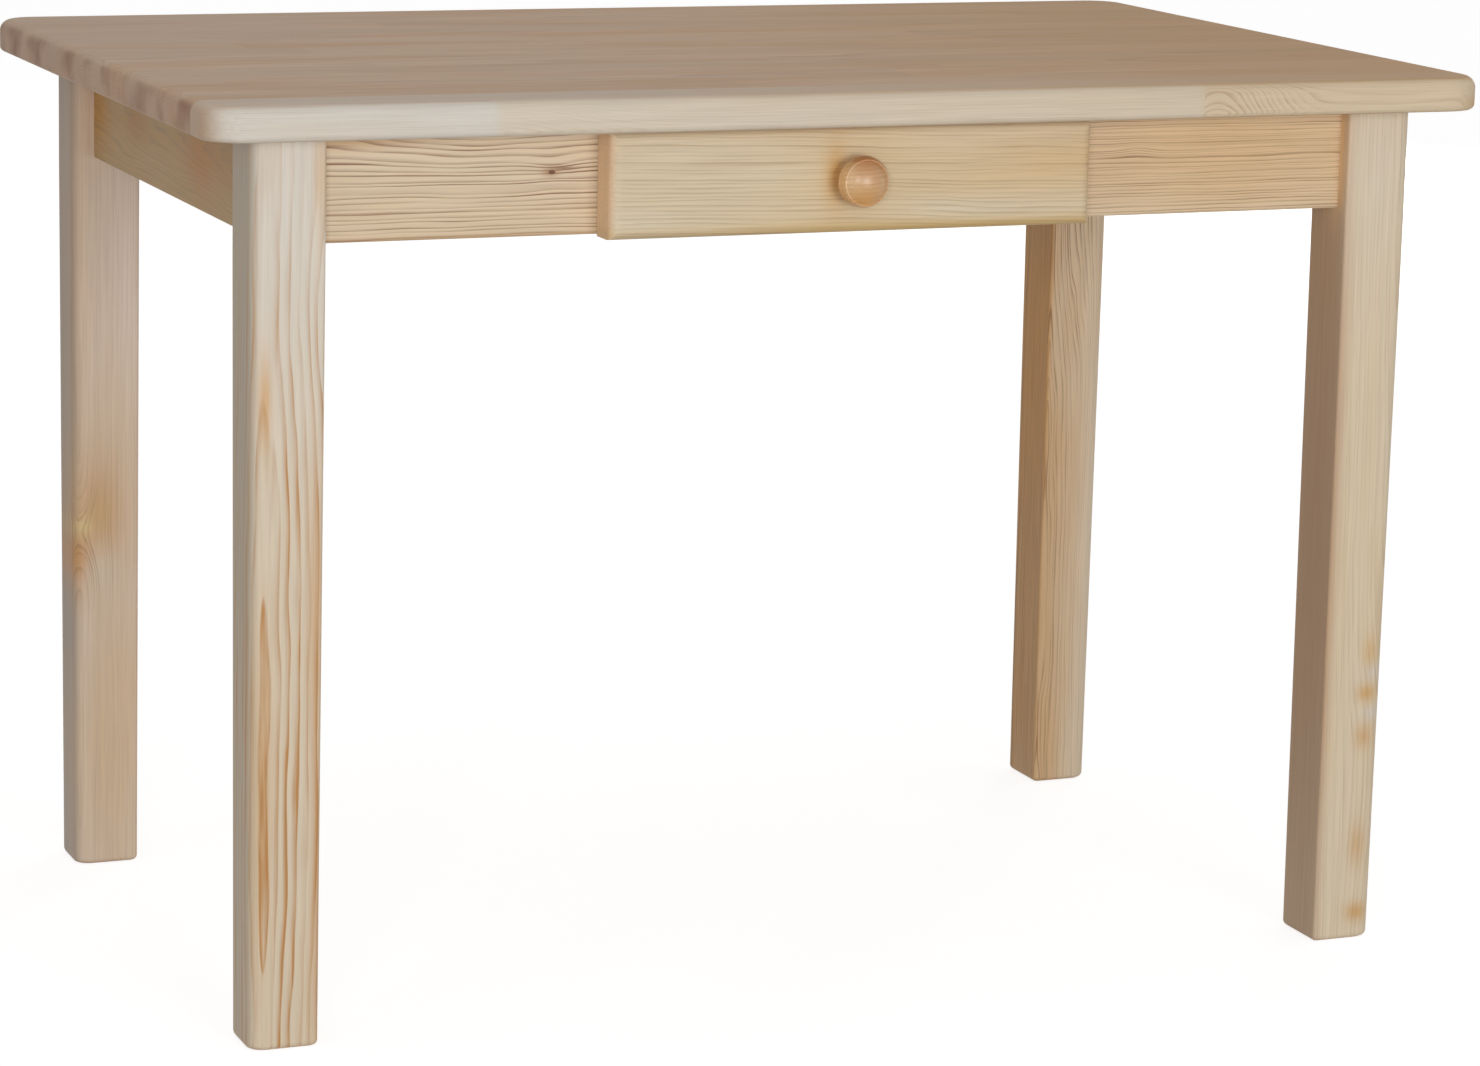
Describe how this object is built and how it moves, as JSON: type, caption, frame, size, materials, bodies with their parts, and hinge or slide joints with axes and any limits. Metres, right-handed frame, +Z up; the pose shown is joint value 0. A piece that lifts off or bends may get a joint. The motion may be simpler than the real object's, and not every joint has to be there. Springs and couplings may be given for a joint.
{
  "type": "tavern table",
  "caption": "Solid pine table with a glued-up top, square legs, set-back aprons and a sliding drawer with a turned knob, for dining and kitchen use.",
  "frame": {"origin": "on the floor under the middle of the top", "axes": "+X along the table to the right as seen from the drawer's side, +Y away from the drawer's side, +Z up"},
  "size_m": [1.1, 0.7, 0.75],
  "materials": {
    "pine_top": "satin",
    "pine_leg": "satin",
    "pine_apron": "satin",
    "pine_drawer_front": "satin",
    "turned_knob_wood": "satin",
    "pine_frame_block": "satin",
    "pine_drawer_box": "satin",
    "birch_plywood": "satin",
    "beech_dowel": "satin",
    "zinc_plated_steel": "satin"
  },
  "bodies": {
    "table": {"apron_back": "pine_apron", "apron_dowels": "beech_dowel", "apron_front": "pine_apron", "apron_left": "pine_apron", "apron_right": "pine_apron", "cleat_screws": "zinc_plated_steel", "corner_block_back_left": "pine_frame_block", "corner_block_back_right": "pine_frame_block", "corner_block_front_left": "pine_frame_block", "corner_block_front_right": "pine_frame_block", "corner_block_screws": "zinc_plated_steel", "corner_bolts": "zinc_plated_steel", "corner_nuts": "zinc_plated_steel", "corner_washers": "zinc_plated_steel", "drawer_guide_left": "pine_frame_block", "drawer_guide_right": "pine_frame_block", "drawer_runner_left": "pine_frame_block", "drawer_runner_right": "pine_frame_block", "leg_back_left": "pine_leg", "leg_back_right": "pine_leg", "leg_front_left": "pine_leg", "leg_front_right": "pine_leg", "runner_dowels": "beech_dowel", "top_cleat_left": "pine_frame_block", "top_cleat_right": "pine_frame_block", "top_screws": "zinc_plated_steel", "top_stave_01": "pine_top", "top_stave_02": "pine_top", "top_stave_03": "pine_top", "top_stave_04": "pine_top", "top_stave_05": "pine_top", "top_stave_06": "pine_top", "top_stave_07": "pine_top", "top_stave_08": "pine_top", "top_stave_09": "pine_top", "top_stave_10": "pine_top", "top_stave_11": "pine_top", "top_stave_12": "pine_top", "top_stave_13": "pine_top", "top_stave_14": "pine_top"},
    "drawer": {"drawer_back": "pine_drawer_box", "drawer_bottom": "birch_plywood", "drawer_bottom_pins": "zinc_plated_steel", "drawer_dowels": "beech_dowel", "drawer_front": "pine_drawer_front", "drawer_front_screws": "zinc_plated_steel", "drawer_inner_front": "pine_drawer_box", "drawer_knob": "turned_knob_wood", "drawer_knob_screw": "zinc_plated_steel", "drawer_side_left": "pine_drawer_box", "drawer_side_right": "pine_drawer_box"}
  },
  "joints": [
    {"name": "drawer_slide", "type": "slide", "parent": "table", "child": "drawer", "axis": [0, -1, 0], "range_m": [0, 0.3]}
  ]
}
